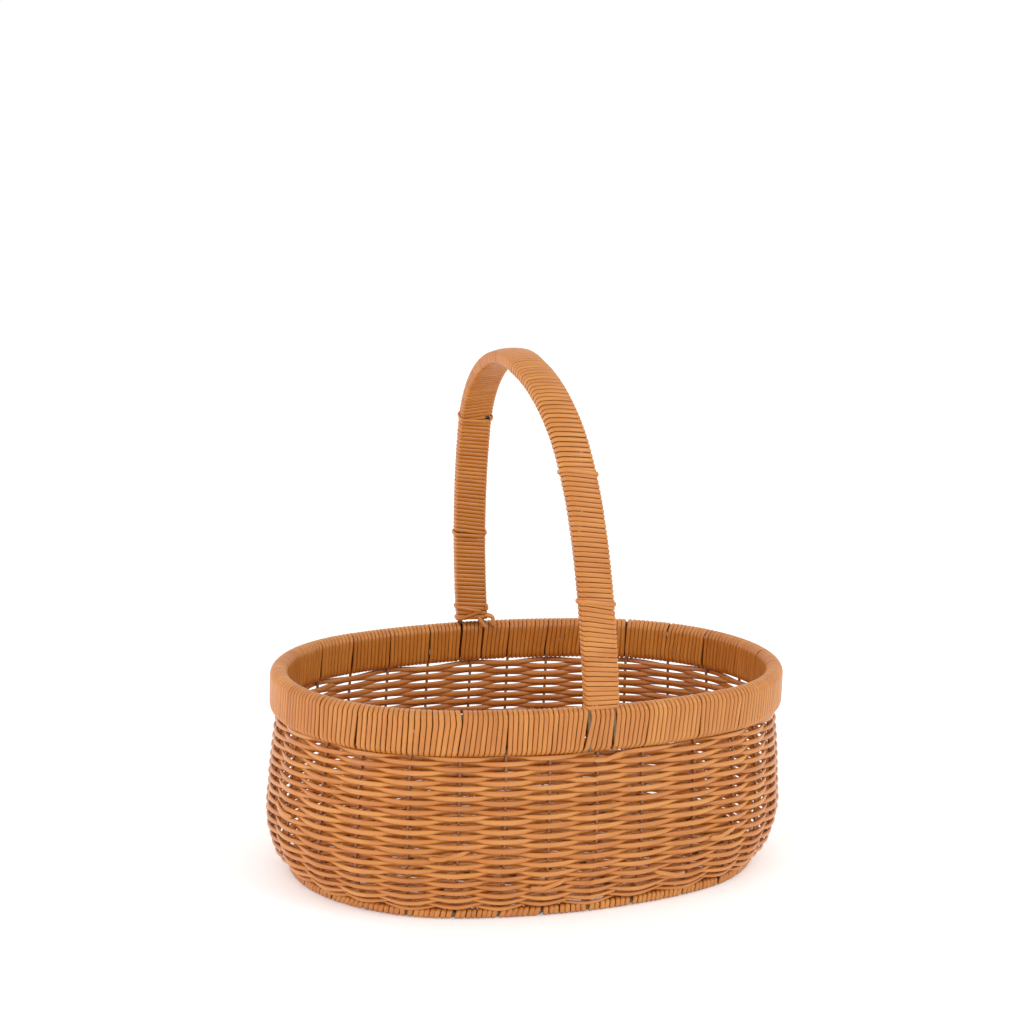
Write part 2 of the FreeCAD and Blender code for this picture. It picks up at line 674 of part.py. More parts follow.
FLOOR_ROWS = int(D.floor_row_count)
swing = D.rib_dia / 2 + D.strand_clearance + D.floor_strand_thick / 2
halves = {"front": [], "back": []}
for i in range(FLOOR_ROWS):
    y = (i - (FLOOR_ROWS - 1) / 2) * D.floor_row_pitch
    # keep the corners of the strand inside the base ring too
    end = min(oval_halflength(abs(y) + D.floor_strand_width / 2, D.floor_edge_inset),
              oval_halflength(y, D.floor_edge_inset))
    points = [(-end, D.rib_height)]
    for j in range(RIBS):
        x = (j - (RIBS - 1) // 2) * D.rib_pitch
        if abs(x) < end - 4.0:
            points.append((x, D.rib_height + (swing if (i + j) % 2 == 0 else -swing)))
    points.append((end, D.rib_height))
    chain = chain_through(points, [(1.0, 0.0)] * len(points), False)
    strand = sweep_chain(chain, (1.0, 0.0), False, lambda p, y=y: Vector(p[0], y, p[1]),
                         Vector(0, 1, 0), D.floor_strand_width, D.floor_strand_thick)
    halves["front" if y < 0 else "back"].append(strand)
for side, solids in halves.items():
    feature("floor_weavers_" + side, Part.makeCompound(solids))

# ------------------------------------------------------------ loose strand end
# the last end of the binding strand, a short curl left free at the back foot
tail_points = [(D.handle_width / 2 + 1.2, 0.0), (D.handle_width / 2 + 5.5, 3.2),
               (D.handle_width / 2 + 9.0, 1.0)]
tail_chain = chain_through(tail_points, [(0.8, 0.6), (0.92, -0.39), (0.5, -0.866)], False)
tail = sweep_chain(tail_chain, (0.8, 0.6), False,
                   lambda p: Vector(p[0], FOOT_Y, D.foot_binding_top + 2.0 + p[1]),
                   Vector(0, -1, 0), 2.6, 1.8)
leaned("strand_tail_back", tail)

# ------------------------------------------------------------ checks and export
doc.recompute()
problems = []
for obj in doc.Objects:
    if "Invalid" in obj.State or "Error" in obj.State:
        problems.append("%s: %s" % (obj.Name, obj.State))
by_label = {obj.Label: obj for obj in doc.Objects}
for name in subparts:
    shape = by_label[name].Shape
    if shape.isNull() or not shape.isValid() or not shape.Solids:
        problems.append("%s: shape null, not valid or without a solid" % name)
    elif min(solid.Volume for solid in shape.Solids) <= 0:
        problems.append("%s: a solid has no volume" % name)
if problems:
    raise RuntimeError("; ".join(problems))
for name in subparts:
    by_label[name].Shape.exportStep("parts/%s.step" % name)
box = FreeCAD.BoundBox()
for name in subparts:
    box.add(by_label[name].Shape.BoundBox)
print("%d sub-parts, box %.1f..%.1f x %.1f..%.1f x %.1f..%.1f" % (
    len(subparts), box.XMin, box.XMax, box.YMin, box.YMax, box.ZMin, box.ZMax))
for name in subparts:
    shape = by_label[name].Shape
    print("%-22s %3d solids  %9.1f mm3" % (name, len(shape.Solids), shape.Volume))
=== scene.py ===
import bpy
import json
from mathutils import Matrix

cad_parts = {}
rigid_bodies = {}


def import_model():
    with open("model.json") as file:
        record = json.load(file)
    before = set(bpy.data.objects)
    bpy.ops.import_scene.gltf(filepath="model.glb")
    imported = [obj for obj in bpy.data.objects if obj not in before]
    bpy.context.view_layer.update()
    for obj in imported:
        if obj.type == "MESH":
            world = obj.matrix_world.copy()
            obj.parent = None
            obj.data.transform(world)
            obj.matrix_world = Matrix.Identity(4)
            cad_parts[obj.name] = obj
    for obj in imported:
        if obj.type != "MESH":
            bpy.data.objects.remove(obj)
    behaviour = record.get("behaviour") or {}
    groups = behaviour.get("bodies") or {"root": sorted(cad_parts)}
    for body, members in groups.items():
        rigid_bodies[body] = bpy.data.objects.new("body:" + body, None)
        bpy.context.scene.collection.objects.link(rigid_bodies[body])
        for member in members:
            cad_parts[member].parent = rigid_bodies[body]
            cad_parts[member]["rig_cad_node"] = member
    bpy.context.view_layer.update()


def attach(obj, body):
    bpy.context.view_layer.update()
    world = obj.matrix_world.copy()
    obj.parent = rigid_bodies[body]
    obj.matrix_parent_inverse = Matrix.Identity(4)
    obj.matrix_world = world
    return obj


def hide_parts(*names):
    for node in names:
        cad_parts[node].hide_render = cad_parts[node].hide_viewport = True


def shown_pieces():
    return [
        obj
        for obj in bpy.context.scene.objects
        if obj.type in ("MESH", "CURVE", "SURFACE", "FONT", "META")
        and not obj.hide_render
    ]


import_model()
import bpy
import json
import math
import numpy as np
from mathutils import Matrix, Vector

MM = 0.001

# ------------------------------------------------------------------ sizes, mm
A_RIM, B_RIM, R_END = 175.0, 120.0, 110.0
R_SIDE = (B_RIM ** 2 + (A_RIM - R_END) ** 2 - R_END ** 2) / (2 * (B_RIM - R_END))
CX_END, CY_SIDE = A_RIM - R_END, R_SIDE - B_RIM
PHI = math.atan2(CX_END, CY_SIDE)
REF = 6.8
HALF_SIDE = (R_SIDE - REF) * PHI
END_ARC = (R_END - REF) * (math.pi - 2 * PHI)
AROUND = 4 * HALF_SIDE + 2 * END_ARC
PLACES = np.array([
    0.0, 31.3, 71.0, 104.2, 128.5, 156.4, 185.6, 215.3, 245.0, 278.1,
    309.2, 340.6, 370.0, 399.5, 428.5, 456.6, 490.0, 522.0, 553.0, 583.0,
    613.5, 643.9, 674.4, 704.8, 736.6, 763.2, 794.6, 824.9, 853.4, 881.2])
K = len(PLACES)
RIM_TOP, RIM_BOTTOM, RIM_DEPTH = 135.5, 107.0, 11.0
STAKE_R = 1.0
BOW_X = 8.45
FOOT_Y, Z0, RS, RT = 112.6, 132.0, 409.0, 90.0
RISE = math.sqrt((RS - RT) ** 2 - (RS - FOOT_Y) ** 2)
ALPHA = math.atan2(RISE, RS - FOOT_Y)
LEAN, PIVOT = math.radians(-4.9), 121.0
HANDLE_W, HANDLE_T = 22.6, 8.0


def plan(place, inset=0.0):
    """Points, outward normals and tangents of the offset oval (arrays of mm)."""
    s = np.atleast_1d(np.asarray(place, float))
    s = -HALF_SIDE + np.mod(s + HALF_SIDE, AROUND)
    starts = np.array([-HALF_SIDE, HALF_SIDE, HALF_SIDE + END_ARC, 3 * HALF_SIDE + END_ARC])
    which = np.clip(np.searchsorted(starts, s, side="right") - 1, 0, 3)
    cx = np.array([0, CX_END, 0, -CX_END])[which]
    cy = np.array([CY_SIDE, 0, -CY_SIDE, 0])[which]
    rad = np.array([R_SIDE, R_END, R_SIDE, R_END])[which]
    first = np.array([-math.pi / 2 - PHI, -math.pi / 2 + PHI, math.pi / 2 - PHI, math.pi / 2 + PHI])[which]
    ang = first + (s - starts[which]) / (rad - REF)
    n = np.stack([np.cos(ang), np.sin(ang)], -1)
    r = (rad - inset)[..., None]
    return np.stack([cx, cy], -1) + n * r, n, np.stack([-n[:, 1], n[:, 0]], -1)


def rounded_line():
    """Height, inset and slope of the stakes, sampled."""
    pts = [(-15.3, 2.2), (-8.0, 15.0), (-2.7, 38.0), (-4.5, 82.0), (-6.8, 111.0), (-6.8, 131.0)]
    rad = [22.0, 45.0, 130.0, 90.0]
    out, here = [pts[0]], pts[0]
    for i in range(1, len(pts) - 1):
        p, c, q = (np.array(v) for v in pts[i - 1:i + 2])
        u, v = (c - p) / np.linalg.norm(c - p), (q - c) / np.linalg.norm(q - c)
        turn = math.atan2(u[0] * v[1] - u[1] * v[0], u @ v)
        cut = abs(rad[i - 1] * math.tan(turn / 2))
        a, sign = c - u * cut, math.copysign(1, turn)
        centre = a + np.array([-u[1], u[0]]) * sign * rad[i - 1]
        for f in np.linspace(0, 1, 13):
            th = turn * f
            d = a - centre
            out.append(tuple(centre + np.array([d[0] * math.cos(th) - d[1] * math.sin(th),
                                                d[0] * math.sin(th) + d[1] * math.cos(th)])))
    out.append(pts[-1])
    return np.array(out)


LINE = rounded_line()


def inset_at(z):
    return -np.interp(z, LINE[:, 1], LINE[:, 0])


def slope_at(z):
    return (inset_at(np.asarray(z) + 0.5) - inset_at(np.asarray(z) - 0.5))


BULGE_Z = [2.0, 6.0, 12.0, 20.0, 32.0, 50.0, 75.0, 95.0, 107.0]
BULGE = [-4.5, -3.2, 0.2, 2.0, 3.0, 2.2, 1.5, 0.6, 0.0]


def ends(place):
    """1 at the two ends of the oval, 0 along its sides."""
    f = np.clip((np.abs(plan(place)[0][:, 0]) - 70.0) / 95.0, 0, 1)
    return f * f * (3 - 2 * f)


def bulge(place, z):
    """The ends of the basket belly out more and draw in more at the foot."""
    return ends(place) * np.interp(z, BULGE_Z, BULGE)


# -------------------------------------------------------------- smooth noise
def noise1(x, seed):
    """Smooth value noise of one variable, about -1..1."""
    x = np.asarray(x, float)
    i = np.floor(x).astype(int)
    f = x - i
    f = f * f * (3 - 2 * f)

    def h(k):
        v = np.sin((k + seed * 57.31) * 12.9898) * 43758.5453
        return (v - np.floor(v)) * 2 - 1
    return h(i) * (1 - f) + h(i + 1) * f


# -------------------------------------------------------------- mesh builder
class Mesh:
    """Collects swept strands, then makes one object of them."""

    def __init__(self):
        self.v, self.f, self.uv, self.tone, self.count = [], [], [], [], 0

    def sweep(self, path, U, V, width, thick, closed=False, sect=12, power=2.5, tone=0.5,
              u0=0.0, taper=None):
        """A strand along path (mm) with its width along U and thickness along V."""
        path = np.asarray(path, float)
        n = len(path)
        width = np.broadcast_to(np.asarray(width, float), (n,)).copy()
        thick = np.broadcast_to(np.asarray(thick, float), (n,)).copy()
        if taper and not closed:            # rounded ends
            seg = np.r_[0, np.cumsum(np.linalg.norm(np.diff(path, axis=0), axis=1))]
            for d in (seg, seg[-1] - seg):
                k = np.sqrt(np.clip(1 - (1 - np.clip(d / taper, 0, 1)) ** 2, 0.04, 1))
                width *= k
                thick *= k
        ph = np.linspace(0, 2 * math.pi, sect, endpoint=False)
        c, s = np.cos(ph), np.sin(ph)
        cu = np.sign(c) * np.abs(c) ** (2 / power)
        sv = np.sign(s) * np.abs(s) ** (2 / power)
        ring = (path[:, None] + U[:, None] * (cu[None, :, None] * width[:, None, None] / 2)
                + V[:, None] * (sv[None, :, None] * thick[:, None, None] / 2))
        length = np.r_[0, np.cumsum(np.linalg.norm(np.diff(path, axis=0), axis=1))]
        if closed:
            length = np.r_[length, length[-1] + np.linalg.norm(path[0] - path[-1])]
        base = self.count
        self.v.append(ring.reshape(-1, 3))
        self.tone.append(np.broadcast_to(np.asarray(tone, float), (n,)).repeat(sect))
        self.count += n * sect
        m = n if closed else n - 1
        i = np.arange(m)
        j = np.arange(sect)
        ii, jj = np.meshgrid(i, j, indexing="ij")
        a = base + ii * sect + jj
        b = base + ii * sect + (jj + 1) % sect
        nx = (ii + 1) % n
        d = base + nx * sect + jj
        e = base + nx * sect + (jj + 1) % sect
        quads = np.stack([a, b, e, d], -1).reshape(-1, 4)
        # outward facing for right-handed U, V, T
        T = np.roll(path, -1, 0) - path if closed else np.diff(path, axis=0)
        if np.sum(np.cross(U[:len(T)], V[:len(T)]) * T) > 0:
            quads = quads[:, ::1]
            order = [0, 1, 2, 3]
        else:
            quads = quads[:, ::-1]
            order = [3, 2, 1, 0]
        self.f.append(quads)
        ul, uh = u0 + length[ii], u0 + length[ii + 1]
        vl, vh = jj / sect, (jj + 1) / sect
        uv = np.stack([np.stack([ul, vl], -1), np.stack([ul, vh], -1),
                       np.stack([uh, vh], -1), np.stack([uh, vl], -1)], 2).reshape(-1, 4, 2)
        self.uv.append(uv[:, order])
        if not closed:
            for end, ring_i, flip in ((0, 0, False), (n - 1, n - 1, True)):
                centre = self.count
                self.v.append(path[end:end + 1])
                self.tone.append(np.array([self.tone[-1][ring_i * sect]]) if len(self.tone[-1]) > 1
                                 else np.array([0.5]))
                self.count += 1
                p = base + ring_i * sect + j
                q = base + ring_i * sect + (j + 1) % sect
                cc = np.full(sect, centre)
                tri = np.stack([q, p, cc, cc], -1) if not flip else np.stack([p, q, cc, cc], -1)
                if order[0] == 3:
                    tri = tri[:, [1, 0, 2, 3]]
                self.f.append(tri)
                uvc = np.zeros((sect, 4, 2))
                uvc[..., 0] = u0 + length[min(ring_i, len(length) - 1)]
                uvc[..., 1] = 0.5
                self.uv.append(uvc)
        return length[-1]

    def build(self, name, material, nodes=(), slot=None):
        v = np.concatenate(self.v) * MM
        f = np.concatenate(self.f)
        uv = np.concatenate(self.uv)
        tone = np.concatenate(self.tone)
        tri = f[:, 2] == f[:, 3]
        totals = np.where(tri, 3, 4)
        keep = np.ones(f.shape, bool)
        keep[tri, 3] = False
        me = bpy.data.meshes.new(name)
        me.vertices.add(len(v))
        me.vertices.foreach_set("co", v.astype(np.float32).ravel())
        me.loops.add(int(totals.sum()))
        me.loops.foreach_set("vertex_index", f[keep].astype(np.int32))
        me.polygons.add(len(f))
        me.polygons.foreach_set("loop_start", np.r_[0, np.cumsum(totals)[:-1]].astype(np.int32))
        me.update(calc_edges=True)
        me.polygons.foreach_set("use_smooth", np.ones(len(f), bool))
        layer = me.uv_layers.new(name="UVMap")
        layer.data.foreach_set("uv", (uv[keep] * np.array([0.1, 1.0])).astype(np.float32).ravel())
        att = me.attributes.new("tone", "FLOAT", "POINT")
        att.data.foreach_set("value", tone.astype(np.float32))
        me.validate()
        me.materials.append(material)
        ob = bpy.data.objects.new(name, me)
        bpy.context.scene.collection.objects.link(ob)
        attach(ob, "root")
        if nodes:
            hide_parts(*nodes)
        return ob


def unit(a):
    return a / np.maximum(np.linalg.norm(a, axis=-1, keepdims=True), 1e-12)


def tangents(path, closed):
    if closed:
        return unit(np.roll(path, -1, 0) - np.roll(path, 1, 0))
    return unit(np.gradient(path, axis=0))


def frames(path, V, closed):
    """Width and thickness directions, with V made square to the path."""
    T = tangents(path, closed)
    V = unit(V - T * np.sum(V * T, -1, keepdims=True))
    return np.cross(V, T), V, T


# ------------------------------------------------------------------ materials
def node(nt, kind, **props):
    n = nt.nodes.new(kind)
    for k, v in props.items():
        setattr(n, k, v)
    return n


def strand_material(name, dark, mid, light, rough=0.30):
    """Drawn synthetic strand: lengthwise streaks, a slow drift of colour along
    it, and a different tone for each strand."""
    mat = bpy.data.materials.new(name)
    mat.use_nodes = True
    nt = mat.node_tree
    nt.nodes.clear()
    L = nt.links.new
    out = node(nt, "ShaderNodeOutputMaterial")
    bsdf = node(nt, "ShaderNodeBsdfPrincipled")
    L(bsdf.outputs[0], out.inputs[0])
    uv = node(nt, "ShaderNodeUVMap", uv_map="UVMap")
    tone = node(nt, "ShaderNodeAttribute", attribute_name="tone")
    # the two ends of the section meet at v = 0 and 1, so streaks use the
    # distance from the strand's edge, and the tone shifts them per strand
    sep = node(nt, "ShaderNodeSeparateXYZ")
    L(uv.outputs[0], sep.inputs[0])
    wave = node(nt, "ShaderNodeMath", operation="PINGPONG")
    L(sep.outputs[1], wave.inputs[0])
    wave.inputs[1].default_value = 0.5
    shift = node(nt, "ShaderNodeMath", operation="MULTIPLY")
    L(tone.outputs["Fac"], shift.inputs[0])
    shift.inputs[1].default_value = 37.0

    def field(su, sv, detail, rough_):
        comb = node(nt, "ShaderNodeCombineXYZ")
        mu = node(nt, "ShaderNodeMath", operation="MULTIPLY")
        L(sep.outputs[0], mu.inputs[0])
        mu.inputs[1].default_value = su
        mv = node(nt, "ShaderNodeMath", operation="MULTIPLY")
        L(wave.outputs[0], mv.inputs[0])
        mv.inputs[1].default_value = sv
        L(mu.outputs[0], comb.inputs[0])
        L(mv.outputs[0], comb.inputs[1])
        L(shift.outputs[0], comb.inputs[2])
        tex = node(nt, "ShaderNodeTexNoise")
        tex.inputs["Scale"].default_value = 1.0
        tex.inputs["Detail"].default_value = detail
        tex.inputs["Roughness"].default_value = rough_
        L(comb.outputs[0], tex.inputs["Vector"])
        return tex.outputs["Fac"]
    streak = field(0.55, 34.0, 3.0, 0.6)
    drift = field(0.35, 1.2, 2.0, 0.5)
    # colour position: strand tone + slow drift + fine streaks
    def madd(a, ka, b):
        n = node(nt, "ShaderNodeMath", operation="MULTIPLY_ADD")
        L(a, n.inputs[0])
        n.inputs[1].default_value = ka
        if hasattr(b, "default_value") and not isinstance(b, float):
            L(b, n.inputs[2])
        else:
            n.inputs[2].default_value = b
        return n.outputs[0]
    t1 = madd(tone.outputs["Fac"], 0.42, -0.22)
    t2 = madd(drift, 0.75, t1)
    t3 = madd(streak, 0.55, t2)
    ramp = node(nt, "ShaderNodeValToRGB")
    ramp.color_ramp.elements[0].position = 0.12
    ramp.color_ramp.elements[0].color = (*dark, 1)
    ramp.color_ramp.elements[1].position = 0.95
    ramp.color_ramp.elements[1].color = (*light, 1)
    e = ramp.color_ramp.elements.new(0.55)
    e.color = (*mid, 1)
    L(t3, ramp.inputs[0])
    # painted shade: an ambient-occlusion mask darkens and browns the hollows between strands, and lifts the open
    # faces a little
    ao = node(nt, "ShaderNodeAmbientOcclusion", samples=6)
    ao.inputs["Distance"].default_value = 0.0032
    ao_map = node(nt, "ShaderNodeMapRange")
    L(ao.outputs["AO"], ao_map.inputs[0])
    ao_map.inputs[1].default_value = 0.10
    ao_map.inputs[2].default_value = 0.72
    # painted shade: occluded places take the brown (0.50, 0.38, 0.30) multiplier, open places 1.08, multiplied
    # into the strand colour
    crevice_shade_multiply = node(nt, "ShaderNodeMix", data_type="RGBA", blend_type="MULTIPLY")
    crevice_shade_multiply.inputs[0].default_value = 1.0
    hollow_shade_tint = node(nt, "ShaderNodeMix", data_type="RGBA")
    hollow_shade_tint.inputs[6].default_value = (0.50, 0.38, 0.30, 1)
    hollow_shade_tint.inputs[7].default_value = (1.08, 1.08, 1.08, 1)
    L(ao_map.outputs[0], hollow_shade_tint.inputs[0])
    L(ramp.outputs[0], crevice_shade_multiply.inputs[6])
    L(hollow_shade_tint.outputs[2], crevice_shade_multiply.inputs[7])
    L(crevice_shade_multiply.outputs[2], bsdf.inputs["Base Color"])
    r = node(nt, "ShaderNodeMapRange")
    L(streak, r.inputs[0])
    r.inputs[3].default_value = rough - 0.06
    r.inputs[4].default_value = rough + 0.10
    L(r.outputs[0], bsdf.inputs["Roughness"])
    bump = node(nt, "ShaderNodeBump")
    bump.inputs["Strength"].default_value = 0.22
    bump.inputs["Distance"].default_value = 0.00018
    L(streak, bump.inputs["Height"])
    L(bump.outputs[0], bsdf.inputs["Normal"])
    bsdf.inputs["IOR"].default_value = 1.5
    bsdf.inputs["Specular IOR Level"].default_value = 0.65
    bsdf.inputs["Coat Weight"].default_value = 0.12
    bsdf.inputs["Coat Roughness"].default_value = 0.22
    return mat


def wire_material(name, dark, light, rough, scale):
    mat = bpy.data.materials.new(name)
    mat.use_nodes = True
    nt = mat.node_tree
    nt.nodes.clear()
    L = nt.links.new
    out = node(nt, "ShaderNodeOutputMaterial")
    bsdf = node(nt, "ShaderNodeBsdfPrincipled")
    L(bsdf.outputs[0], out.inputs[0])
    coord = node(nt, "ShaderNodeTexCoord")
    tex = node(nt, "ShaderNodeTexNoise")
    tex.inputs["Scale"].default_value = scale
    tex.inputs["Detail"].default_value = 4.0
    L(coord.outputs["Object"], tex.inputs["Vector"])
    ramp = node(nt, "ShaderNodeValToRGB")
    ramp.color_ramp.elements[0].position = 0.3
    ramp.color_ramp.elements[0].color = (*dark, 1)
    ramp.color_ramp.elements[1].position = 0.7
    ramp.color_ramp.elements[1].color = (*light, 1)
    L(tex.outputs["Fac"], ramp.inputs[0])
    L(ramp.outputs[0], bsdf.inputs["Base Color"])
    r = node(nt, "ShaderNodeMapRange")
    L(tex.outputs["Fac"], r.inputs[0])
    r.inputs[3].default_value = rough - 0.08
    r.inputs[4].default_value = rough + 0.08
    L(r.outputs[0], bsdf.inputs["Roughness"])
    bump = node(nt, "ShaderNodeBump")
    bump.inputs["Strength"].default_value = 0.15
    bump.inputs["Distance"].default_value = 0.0001
    L(tex.outputs["Fac"], bump.inputs["Height"])
    L(bump.outputs[0], bsdf.inputs["Normal"])
    return mat


WEAVE = strand_material("rattan_weave_strand", (0.325, 0.091, 0.009), (0.495, 0.165, 0.020), (0.61, 0.253, 0.051))
WRAP = strand_material("rattan_wrap_strand", (0.35, 0.101, 0.010), (0.475, 0.156, 0.014), (0.59, 0.238, 0.038))
STAKE = wire_material("stake_coated_wire", (0.28, 0.105, 0.036), (0.42, 0.18, 0.075), 0.42, 260.0)
WIRE = wire_material("frame_wire_olive", (0.12, 0.072, 0.028), (0.19, 0.118, 0.052), 0.38, 300.0)

# -------------------------------------------------------- rows of the wall
ROWS = 34
TOP_ROW, PITCH, TIGHT, TIGHT_PITCH = 104.8, 3.07, 8, 2.2
STEPS = np.array([TIGHT_PITCH + (PITCH - TIGHT_PITCH) * j / TIGHT if j < TIGHT else PITCH
                  for j in range(ROWS - 1)])
ROW_Z = np.array([TOP_ROW - STEPS[i:].sum() for i in range(ROWS)])
SPAN = 14
rng = np.random.default_rng(41)
# each strand's own place over each stake: a little up or down, in or out
UP = rng.normal(0, 0.13, (ROWS, K))
OUT = 1 + rng.normal(0, 0.05, (ROWS, K))
TILT = rng.normal(0, 5.0, (ROWS, K))
ROW_TONE = rng.uniform(0, 1, ROWS)
ROW_WIDE = 3.25 + rng.normal(0, 0.09, ROWS)


def wall_place(place, z, out):
    """A point out mm outside the stake line, square to the wall."""
    sl = slope_at(z)
    norm = np.sqrt(1 + sl * sl)
    p, n, t = plan(place, inset_at(z))
    o = out / norm + bulge(place, z)
    xy = p + n * o[:, None]
    zz = z + out * sl / norm
    V = np.concatenate([n / norm[:, None], (sl / norm)[:, None]], 1)
    return np.concatenate([xy, zz[:, None]], 1), unit(V)


def weave_row(mesh, i):
    sign = np.array([1.0 if (k + i) % 2 == 0 else -1.0 for k in range(K)])
    thick, wide = 2.1, ROW_WIDE[i]
    tight = np.interp(ROW_Z[i], [7, 26], [1.0, 0.0])
    reach = STAKE_R + 0.30 + thick / 2 + 0.5 * tight
    place, z, out, tilt, wd = [], [], [], [], []
    for k in range(K):
        k2 = (k + 1) % K
        p0, p1 = PLACES[k], PLACES[k2] + (AROUND if k2 == 0 else 0)
        u = np.arange(SPAN) / SPAN
        f = 0.5 + 0.5 * np.cos(math.pi * u)
        s0, s1 = sign[k] * OUT[i, k], sign[k2] * OUT[i, k2]
        o = (s0 * f + s1 * (1 - f)) * reach
        pl = p0 + (p1 - p0) * u
        zz = ROW_Z[i] + UP[i, k] * f + UP[i, k2] * (1 - f)
        bell = np.sin(math.pi * u)
        place.append(pl)
        out.append(o)
        z.append(zz)
        tilt.append(TILT[i, k] * f + TILT[i, k2] * (1 - f) + 25 * bell ** 2)
        wd.append(wide * (1 + 0.05 * bell ** 2))
    place, z, out, tilt, wd = (np.concatenate(a) for a in (place, z, out, tilt, wd))
    wd = wd * (1 - 0.13 * tight)
    # slow waviness shared by neighbouring rows
    z = z + 0.35 * noise1(place / 46.0 + ROW_Z[i] / 60.0, 3) * np.interp(z, [8, 30], [0.3, 1])
    z = z + 0.22 * noise1(place / 75.0, 11 + i)
    if i == ROWS - 1:                   # the last row sags by the front foot
        z = z - 1.5 * np.exp(-((np.array(place) - 12.0) / 9.0) ** 2)
    P, V = wall_place(place, z, out)
    U, V, T = frames(P, V, True)
    if np.mean(U[:, 2]) < 0:
        U = -U
    a = np.radians(tilt)[:, None]
    U2, V2 = U * np.cos(a) + V * np.sin(a), V * np.cos(a) - U * np.sin(a)
    tone = ROW_TONE[i] * 0.75 + 0.25 * (0.5 + 0.5 * noise1(place / 210.0, 90 + i))
    mesh.sweep(P, U2, V2, wd, thick, closed=True, sect=14, power=2.7, tone=tone, u0=400.0 * i)


# where one strand ran out and the next was laid in: place, row, direction
JOINS = [(-92.0, 13, 1), (-29.0, 6, 1), (54.0, 5, -1), (96.0, 12, 1), (9.0, 32, 1),
         (250.0, 10, 1), (420.0, 20, -1), (560.0, 8, 1), (700.0, 16, -1)]


def strand_end(mesh, place, row, way, seed):
    """The last few centimetres of a strand, which leave the face of the wall
    and pass slantwise between two rows to the inside."""
    u = np.linspace(0, 1, 22)
    pl = place + way * 26.0 * (u - 0.5)
    z = ROW_Z[row] - 0.3 + 3.4 * np.sin((u - 0.3) * math.pi / 1.4) * (u > 0.3)
    out = 2.9 + 1.2 * np.sin(np.clip(u / 0.75, 0, 1) * math.pi) - 5.6 * np.clip((u - 0.72) / 0.28, 0, 1) ** 1.4
    P, V = wall_place(pl, z, out)
    U, V, T = frames(P, V, False)
    mesh.sweep(P, U, V, 3.0, 1.9, sect=12, power=2.6, tone=0.35 + 0.1 * (seed % 5),
               u0=150000 + 100.0 * seed, taper=0.8)


for pair in range(ROWS // 2):
    m = Mesh()
    weave_row(m, 2 * pair)
    weave_row(m, 2 * pair + 1)
    for j, (at, row, way) in enumerate(JOINS):
        if row // 2 == pair:
            strand_end(m, at, row, way, j)
    m.build("weave_rows_%02d" % (pair + 1), WEAVE, ["wall_weave_%02d" % (pair + 1)], "rattan_weave")


# --------------------------------------------------- wrapping round a section
def rounded_rect(w, h, r, n_side, n_corner):
    """Closed curve round a rounded rectangle centred on 0, from the middle of
    the bottom outer corner up the +x side. Returns points, normals, and the
    share of the way round."""
    cx, cy = w / 2 - r, h / 2 - r
    pts, nor = [], []

    def corner(x, y, a0):
        for f in np.linspace(0, 1, n_corner + 1):
            a = a0 + f * math.pi / 2
            pts.append((x + r * math.cos(a), y + r * math.sin(a)))
            nor.append((math.cos(a), math.sin(a)))

    def side(p, q, n):
        for f in np.linspace(0, 1, n_side + 1)[1:-1]:
            pts.append((p[0] + (q[0] - p[0]) * f, p[1] + (q[1] - p[1]) * f))
            nor.append(n)
    corner(cx, -cy, -math.pi / 2)
    side((w / 2, -cy), (w / 2, cy), (1, 0))
    corner(cx, cy, 0)
    side((cx, h / 2), (-cx, h / 2), (0, 1))
    corner(-cx, cy, math.pi / 2)
    side((-w / 2, cy), (-w / 2, -cy), (-1, 0))
    corner(-cx, -cy, math.pi)
    side((-cx, -h / 2), (cx, -h / 2), (0, -1))
    pts, nor = np.array(pts), np.array(nor)
    d = np.r_[0, np.cumsum(np.linalg.norm(np.diff(pts, axis=0), axis=1))]
    total = d[-1] + np.linalg.norm(pts[0] - pts[-1])
    return pts, nor, d / total


def corner_blend(q, w, h, values):
    """Value round the section from its values at the four corners: outer
    bottom, outer top, inner top, inner bottom."""
    total = 2 * (w + h)
    stops = np.array([0, h / total, (h + w) / total, (2 * h + w) / total, 1.0])
    return np.interp(q, stops, [*values, values[0]])


def wind(section, corner_size, start4, stop4, turns, place3d, wide_of, thick, seed, mesh,
         tone, u0, power=2.2, sect=10, jitter=0.10, lift=0.10, fill=0.985):
    """One strand wound round a section from start to stop, both given at the
    four corners so that turns may lean and leave wedge-shaped gaps."""
    pts, nor, q = section
    w, h = corner_size
    A = corner_blend(q, w, h, start4)
    B = corner_blend(q, w, h, stop4)
    n = len(q)
    turn = (np.arange(turns)[:, None] + q[None, :]).ravel()
    A_, B_ = np.tile(A, turns), np.tile(B, turns)
    s = A_ + turn * (B_ - A_) / turns
    local = (B_ - A_) / turns
    s = s + jitter * noise1(turn * 2.3, seed)
    l = lift * (0.5 + 0.5 * noise1(turn * 1.7, seed + 5))
    o = np.tile(pts[:, 0], turns) + np.tile(nor[:, 0], turns) * l
    z = np.tile(pts[:, 1], turns) + np.tile(nor[:, 1], turns) * l
    no, nz = np.tile(nor[:, 0], turns), np.tile(nor[:, 1], turns)
    P, V = place3d(s, o, z, no, nz)
    T = tangents(P, False)
    V = unit(V - T * np.sum(V * T, -1, keepdims=True))
    U = np.cross(V, T)
    wide = wide_of(local * fill)
    mesh.sweep(P, U, V, wide, thick, closed=False, sect=sect, power=power, tone=tone,
               u0=u0, taper=1.2)


# ------------------------------------------------------------------- rim band
RIM_T = 1.9
SWELL = 0.7
rim_section = rounded_rect(RIM_DEPTH + SWELL - RIM_T, RIM_TOP - RIM_BOTTOM + 0.5 - RIM_T, (RIM_DEPTH + SWELL - RIM_T) / 2 - 0.1, 8, 7)
RIM_MID_Z, RIM_MID_O = (RIM_TOP + RIM_BOTTOM + 0.3) / 2, -(RIM_DEPTH - SWELL) / 2


